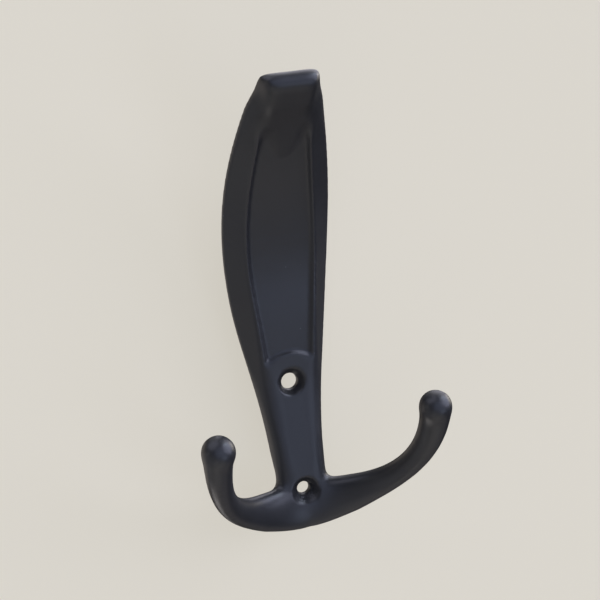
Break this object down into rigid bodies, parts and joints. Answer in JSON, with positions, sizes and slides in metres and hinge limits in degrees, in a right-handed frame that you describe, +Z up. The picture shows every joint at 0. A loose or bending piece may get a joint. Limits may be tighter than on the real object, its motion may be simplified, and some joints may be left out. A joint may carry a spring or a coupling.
{
  "type": "wall hook",
  "caption": "Cast hat and coat wall hook: a flat screwed plate, a tapered blade that leans forward at the top, and side arms that curve forward and up to ball ends.",
  "frame": {"origin": "on the wall, halfway between the two screw holes, in the middle of the hook's width", "axes": "+Z up the wall, -Y out of the wall towards the front of the hook, +X to the right seen from the front"},
  "size_m": [0.0676, 0.0435, 0.1281],
  "materials": {
    "hook_casting": "satin black stoved paint over a die casting"
  },
  "bodies": {
    "root": {"hook_casting": "hook_casting"}
  },
  "joints": []
}
